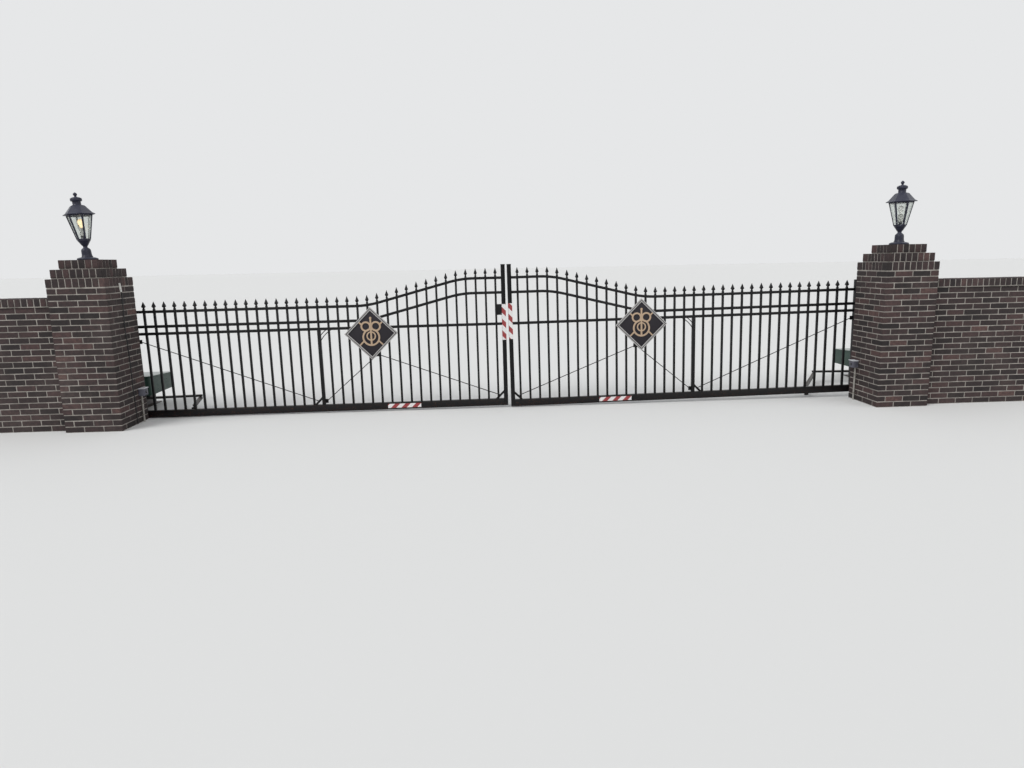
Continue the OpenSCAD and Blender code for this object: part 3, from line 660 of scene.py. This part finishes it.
def bulb_glass(name, code, light, glow):
    """Frosted glass of a globe that gives off some light, brightest in its middle."""
    material, tree, shader = new_finish(name, code, 0.35)
    place = wire(tree, "TexCoord")["Object"]
    cloud = wire(tree, "TexNoise", {"Vector": place, "Scale": 30, "Detail": 2})
    edge = wire(tree, "LayerWeight", {"Blend": 0.35})
    core = wire(tree, "Math", {0: 1.15, 1: edge["Facing"]}, operation="SUBTRACT")
    mixed = wire(tree, "Math", {0: cloud[0], 1: 0.2, 2: core[0]}, operation="MULTIPLY_ADD")
    power = wire(tree, "Math", {0: mixed[0], 1: glow}, operation="MULTIPLY")
    shader.inputs["Emission Color"].default_value = colour(light)
    tree.links.new(power[0], shader.inputs["Emission Strength"])
    return material


# Glazed card over the lamp holder, stained in patches
sleeve, tree, shader = new_finish("lamp_sleeve", "#c9c8c4", 0.5)
place = wire(tree, "TexCoord")["Object"]
stain = wire(tree, "TexNoise", {"Vector": place, "Scale": 45, "Detail": 4})
tinted = wire(
    tree, "ValToRGB", {"Fac": stain[0]}, stops=((0.3, "#cfcecb"), (0.7, "#eceae7"))
)
tree.links.new(tinted[0], shader.inputs["Base Color"])


def banded(piece, cuts, materials):
    """Gives a piece further materials, each from a height upwards."""
    for material in materials:
        piece.data.materials.append(material)
    for face in piece.data.polygons:
        face.material_index = sum(face.center.z > z for z in cuts)


# From the foot of the holder up to the sleeve, and up to the globe
SLEEVE_FOOT, GLOBE_FOOT = 0.046, 0.135
for side, code, light, glow in (
    ("left", "#efe6cf", "#ffdda6", 1.0),
    ("right", "#e6e5e3", "#f6f5f3", 0.2),
):
    eased(f"{side}_lantern_cage", 0.0008, lamp_paint, turn=40)
    eased(f"{side}_lantern_roof", 0.0012, lamp_paint, turn=25)
    dressed(f"{side}_lantern_glass", pane)
    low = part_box(f"{side}_lantern_bulb")[0].z
    lamp = eased(f"{side}_lantern_bulb", 0.0006, lamp_paint, smooth=60, turn=60)
    globe = bulb_glass(f"{side}_bulb", code, light, glow)
    banded(lamp, (low + SLEEVE_FOOT, low + GLOBE_FOOT), (sleeve, globe))


# Operators: one behind each pier, a folded sheet-steel cover with a lid that falls to the back,
# on a stand of channel, with a crank and a link of flat bar that reach the bottom rail. The
# green is painted pale on its upward faces, a painted highlight of the sky on the lid, patchy
# like dust; the lid is held by screws and a key lock.
# The pale upward-face colour of this green, at 1.5, is a painted sky highlight on the lid and
# top.
green = outdoor_paint("operator_green", "#2a4038", 0.34, "#a9aeaa", 1.5, 0.04, 0.6)
steel_black = outdoor_paint("arm_paint", "#1b1c1d", 0.45, "#77716a", 0.5, 0.17, 0.5)

# Zinc-plated steel gone dull, with brown bloom where the rain has eaten through the plating
zinc, tree, shader = new_finish("dull_zinc", "#84827e", 0.45, Metallic=0.6)
place = wire(tree, "TexCoord")["Object"]
bloom = wire(tree, "TexNoise", {"Vector": place, "Scale": 140, "Detail": 4})
spangle = wire(
    tree, "ValToRGB", {"Fac": bloom[0]}, stops=((0.35, "#5b4a40"), (0.6, "#8b8984"))
)
tree.links.new(spangle[0], shader.inputs["Base Color"])


def fixing(name, body, spots, facing, across, tall, sides, material, washer=0.0):
    """Bolt or screw heads on a face, in one mesh: each a low prism with a chamfered crown, on a
    washer where one is given. facing is the direction in which they look."""
    rounds = [(across * 0.85, washer, 24, 0.0)] if washer else []
    rounds.append((across / 2, tall, sides, washer))
    bm = bmesh.new()
    for radius, high, count, start in rounds:
        bmesh.ops.create_cone(
            bm,
            cap_ends=True,
            segments=count,
            radius1=radius,
            radius2=radius,
            depth=high,
            matrix=Matrix.Translation((0, 0, start + high / 2)),
        )
        crown = start + high - 1e-6
        bmesh.ops.bevel(
            bm,
            geom=[e for e in bm.edges if min(v.co.z for v in e.verts) > crown],
            offset=high * 0.3,
            affect="EDGES",
            segments=2,
            profile=0.5,
            material=-1,
        )
    bm.transform(Vector(facing).to_track_quat("Z", "Y").to_matrix().to_4x4())
    first = bm.verts[:] + bm.edges[:] + bm.faces[:]
    for spot in spots[1:]:
        copy = bmesh.ops.duplicate(bm, geom=first)["geom"]
        points = [part for part in copy if isinstance(part, bmesh.types.BMVert)]
        bmesh.ops.translate(bm, verts=points, vec=spot)
    points = [part for part in first if isinstance(part, bmesh.types.BMVert)]
    bmesh.ops.translate(bm, verts=points, vec=spots[0])
    piece = shaped(name, bm, material)
    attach(piece, body)


# How far the lid laps over the cover's walls, how far back each screw sits, and the heights of
# the screws and the lock over the cover's foot
LAP, SCREW_ROWS = 0.008, (0.06, 0.345, 0.63)
SCREW_RISE, LOCK_RISE = 0.030, 0.150
for side, hand in SIDES:
    eased(f"{side}_operator_cover", 0.004, green, turn=50)
    eased(f"{side}_operator_stand", 0.002, steel_black)
    eased(f"{side}_crank", 0.0015, steel_black)
    eased(f"{side}_link", 0.0015, steel_black)
    low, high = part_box(f"{side}_operator_cover")
    inner = (low.x if hand > 0 else high.x) + hand * LAP
    outer = (high.x if hand > 0 else low.x) - hand * LAP
    for place, face, out in (("inner", inner, -hand), ("outer", outer, hand)):
        fixing(
            f"{side}_cover_screws_{place}",
            "posts",
            [(face, low.y + LAP + y, low.z + SCREW_RISE) for y in SCREW_ROWS],
            facing=(out, 0, 0),
            across=0.016,
            tall=0.004,
            sides=24,
            material=zinc,
        )
    fixing(
        f"{side}_cover_lock",
        "posts",
        [((inner + outer) / 2, low.y + LAP, low.z + LOCK_RISE)],
        facing=(0, -1, 0),
        across=0.028,
        tall=0.005,
        sides=32,
        material=zinc,
    )


# Hinge anchors: four hexagon-headed bolts on washers hold each bracket's plate to the pier's
# rear face; they were painted with it and have begun to rust.
PLATE_T, HINGE_HEIGHTS = 0.010, (0.190, 1.190)
ANCHOR_COLUMNS, ANCHOR_RISE = (0.060, 0.125), 0.055
for side, hand in SIDES:
    low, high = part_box(f"{side}_hinge_brackets")
    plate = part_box(f"{side}_pier")[1].y + PLATE_T
    inner = low.x if hand > 0 else high.x
    spots = [
        (inner + hand * x, plate, z + rise)
        for z in HINGE_HEIGHTS
        for x in ANCHOR_COLUMNS
        for rise in (-ANCHOR_RISE, ANCHOR_RISE)
    ]
    fixing(
        f"{side}_hinge_anchors",
        "posts",
        spots,
        facing=(0, 1, 0),
        across=0.019,
        tall=0.007,
        sides=6,
        material=steel_black,
        washer=0.002,
    )


# Safety sensors: one moulded box on each pier's inner face under a pale hood, with a dark lens
# that looks across the drive, and its conduit, held by two saddles, down to the ground.
def weathered(name, low_tone, high_tone, roughness, relief_depth=0.0004):
    """Plastic or rubber that has dulled outdoors in cloudy patches, with a fine grain."""
    material, tree, shader = new_finish(name, high_tone, roughness)
    place = wire(tree, "TexCoord")["Object"]
    grain = wire(tree, "TexNoise", {"Vector": place, "Scale": 900, "Detail": 1})
    stain = wire(tree, "TexNoise", {"Vector": place, "Scale": 18, "Detail": 5})
    soft = wire(
        tree, "ValToRGB", {"Fac": stain[0]}, stops=((0.3, low_tone), (0.75, high_tone))
    )
    tree.links.new(soft[0], shader.inputs["Base Color"])
    relief = wire(
        tree, "Bump", {"Strength": 0.3, "Distance": relief_depth, "Height": grain[0]}
    )
    tree.links.new(relief[0], shader.inputs["Normal"])
    return material


# Grey PVC conduit, a darker moulded box under a pale hood, and a glossy lens that passes infrared
conduit = weathered("conduit_plastic", "#8f8b86", "#aaa69f", 0.55)
housing = weathered("grey_housing", "#4d4d57", "#64646e", 0.5)
hood = weathered("pale_hood", "#b4b5b9", "#d3d4d8", 0.5)
lens_dark = weathered("sensor_lens", "#101014", "#1d1d24", 0.15, 0.0001)
HOOD_T, HOOD_OUT = 0.009, 0.006
for side, hand in SIDES:
    low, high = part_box(f"{side}_sensor")
    piece = eased(f"{side}_sensor", 0.003, conduit, turn=50)
    top = high.z - HOOD_T
    edge = low.x if hand > 0 else high.x
    box_low = min(v.co.z for v in piece.data.vertices if abs(v.co.x - edge) < 0.03)
    banded(piece, (box_low - 0.001, top + 0.0005), (housing, hood))
    fixing(
        f"{side}_sensor_lens",
        "posts",
        [Vector((edge + hand * HOOD_OUT, (low.y + high.y) / 2, (box_low + top) / 2))],
        facing=(-hand, 0, 0),
        across=0.034,
        tall=0.004,
        sides=40,
        material=lens_dark,
    )


def saddle(name, material, foot, out, along, inner, thick, ear, wide):
    """A strip bent over a round pipe or cable that lies on a wall at foot, with an ear on both
    sides. out leads away from the wall, and along runs with the pipe."""
    bm = bmesh.new()
    ends = [bm.verts.new((inner, inner, z)) for z in (-wide / 2, wide / 2)]
    first = bm.edges.new(ends)
    bend = bmesh.ops.spin(
        bm,
        geom=[*ends, first],
        cent=(0, inner, 0),
        axis=(0, 0, 1),
        angle=math.pi,
        steps=16,
    )["geom_last"]
    last = next(part for part in bend if isinstance(part, bmesh.types.BMEdge))
    for rim, hand in ((first, 1), (last, -1)):
        for x in (inner, inner + thick + ear):
            grown = bmesh.ops.extrude_edge_only(bm, edges=[rim])["geom"]
            ends = [part for part in grown if isinstance(part, bmesh.types.BMVert)]
            for v in ends:
                v.co.xy = hand * x, 0
            rim = bm.edges.get(ends)
    bmesh.ops.recalc_face_normals(bm, faces=bm.faces[:])
    bmesh.ops.solidify(bm, geom=bm.faces[:], thickness=thick)
    rims = [e for e in bm.edges if e.calc_face_angle(0) > math.radians(60)]
    bmesh.ops.bevel(
        bm, geom=rims, offset=thick * 0.2, affect="EDGES", segments=1, profile=0.5, material=-1
    )
    out, along = Vector(out), Vector(along).normalized()
    axes = Matrix((out.cross(along), out, along)).transposed().to_4x4()
    bm.transform(Matrix.Translation(foot) @ axes)
    piece = shaped(name, bm, material)
    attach(piece, "posts")


# The saddles' feet lie on the brick, a hair behind the conduit; one is near the ground and one
# under the box
GAP, LOW_SADDLE, UNDER_HOOD = 0.0003, 0.09, 0.19
for side, hand in SIDES:
    low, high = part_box(f"{side}_sensor")
    wall = high.x + GAP if hand > 0 else low.x - GAP
    pipe = [
        v.co for v in frame["nodes"][f"{side}_sensor"].data.vertices if v.co.z < 0.001
    ]
    middle = sum((v.y for v in pipe), 0.0) / len(pipe)
    radius = max(abs(v.x - wall) for v in pipe) / 2
    for k, z in enumerate((LOW_SADDLE, high.z - UNDER_HOOD)):
        saddle(
            f"{side}_conduit_saddle_{k + 1}",
            zinc,
            foot=(wall, middle, z),
            out=(-hand, 0, 0),
            along=(0, 0, 1),
            inner=radius + 0.0002,
            thick=0.0015,
            ear=0.010,
            wide=0.014,
        )


# The lamp's cable: black sheathed flex pinned to the mortar up the left pier's inner face, in
# plastic clips; at its top it goes into the brickwork under a white guard.
rubber = weathered("cable_sheath", "#0e0e10", "#2b2b2e", 0.5)
white_clip = weathered("white_guard", "#c4c3be", "#e2e1dc", 0.4)
cable = eased("lamp_cable", 0.0002, rubber, smooth=60, turn=170)
points = sorted((v.co.copy() for v in cable.data.vertices), key=lambda p: p.z)
ROUND = 8
rings = [sum(points[n : n + ROUND], Vector()) / ROUND for n in range(0, len(points), ROUND)]
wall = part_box("lamp_cable")[0].x - GAP
for k in range(1, len(rings) - 2):
    saddle(
        f"cable_clip_{k}",
        rubber,
        foot=(wall, rings[k].y, rings[k].z),
        out=(1, 0, 0),
        along=rings[k + 1] - rings[k - 1],
        inner=0.0056,
        thick=0.0014,
        ear=0.004,
        wide=0.008,
    )
climb = rings[-1] - rings[-2]
top = rings[-1] + climb.normalized() * 0.004
saddle(
    "cable_guard",
    white_clip,
    foot=(wall, top.y, top.z),
    out=(1, 0, 0),
    along=climb,
    inner=0.0070,
    thick=0.0016,
    ear=0.003,
    wide=0.100,
)
